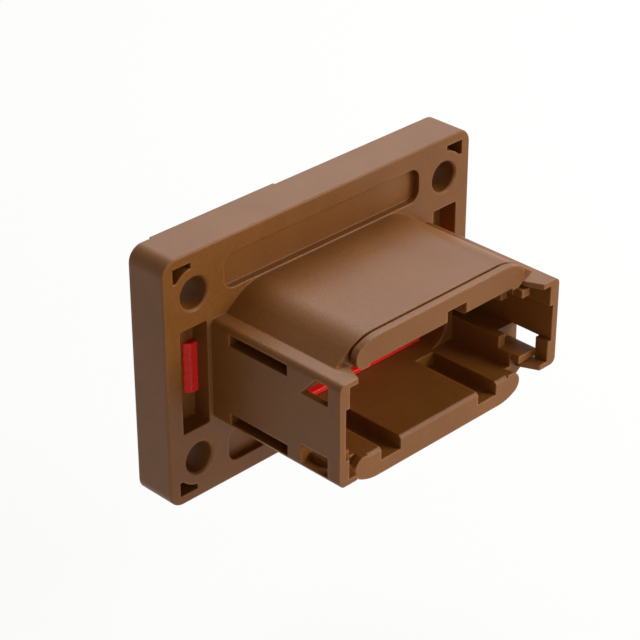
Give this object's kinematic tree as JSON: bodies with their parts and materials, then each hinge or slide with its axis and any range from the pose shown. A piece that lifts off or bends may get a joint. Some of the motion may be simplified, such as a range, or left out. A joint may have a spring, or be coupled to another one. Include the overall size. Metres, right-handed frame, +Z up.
{
  "type": "panel mount receptacle",
  "caption": "flange-mounted pin receptacle for a sealed wiring joint, with a keyed open mouth between two channel-shaped side wings and a snap-in rear seal retainer",
  "frame": {"origin": "centre of the flange's back face, which lies on the panel", "axes": "+X to the right as seen from the mouth, +Z up, the mouth opens towards -Y and the rear barrel passes through the panel towards +Y"},
  "size_m": [0.0622, 0.0374, 0.04],
  "materials": {
    "shell": "fine satin moulded",
    "red_plastic": "satin moulded",
    "seal_rubber": "smooth silicone",
    "contact": "plated"
  },
  "bodies": {
    "root": {"shell": "shell", "wedge_lock": "red_plastic", "seal_retainer": "red_plastic", "wire_seal": "seal_rubber", "contact_01": "contact", "contact_02": "contact", "contact_03": "contact", "contact_04": "contact", "contact_05": "contact", "contact_06": "contact", "contact_07": "contact", "contact_08": "contact", "contact_09": "contact", "contact_10": "contact", "contact_11": "contact", "contact_12": "contact"}
  },
  "joints": []
}
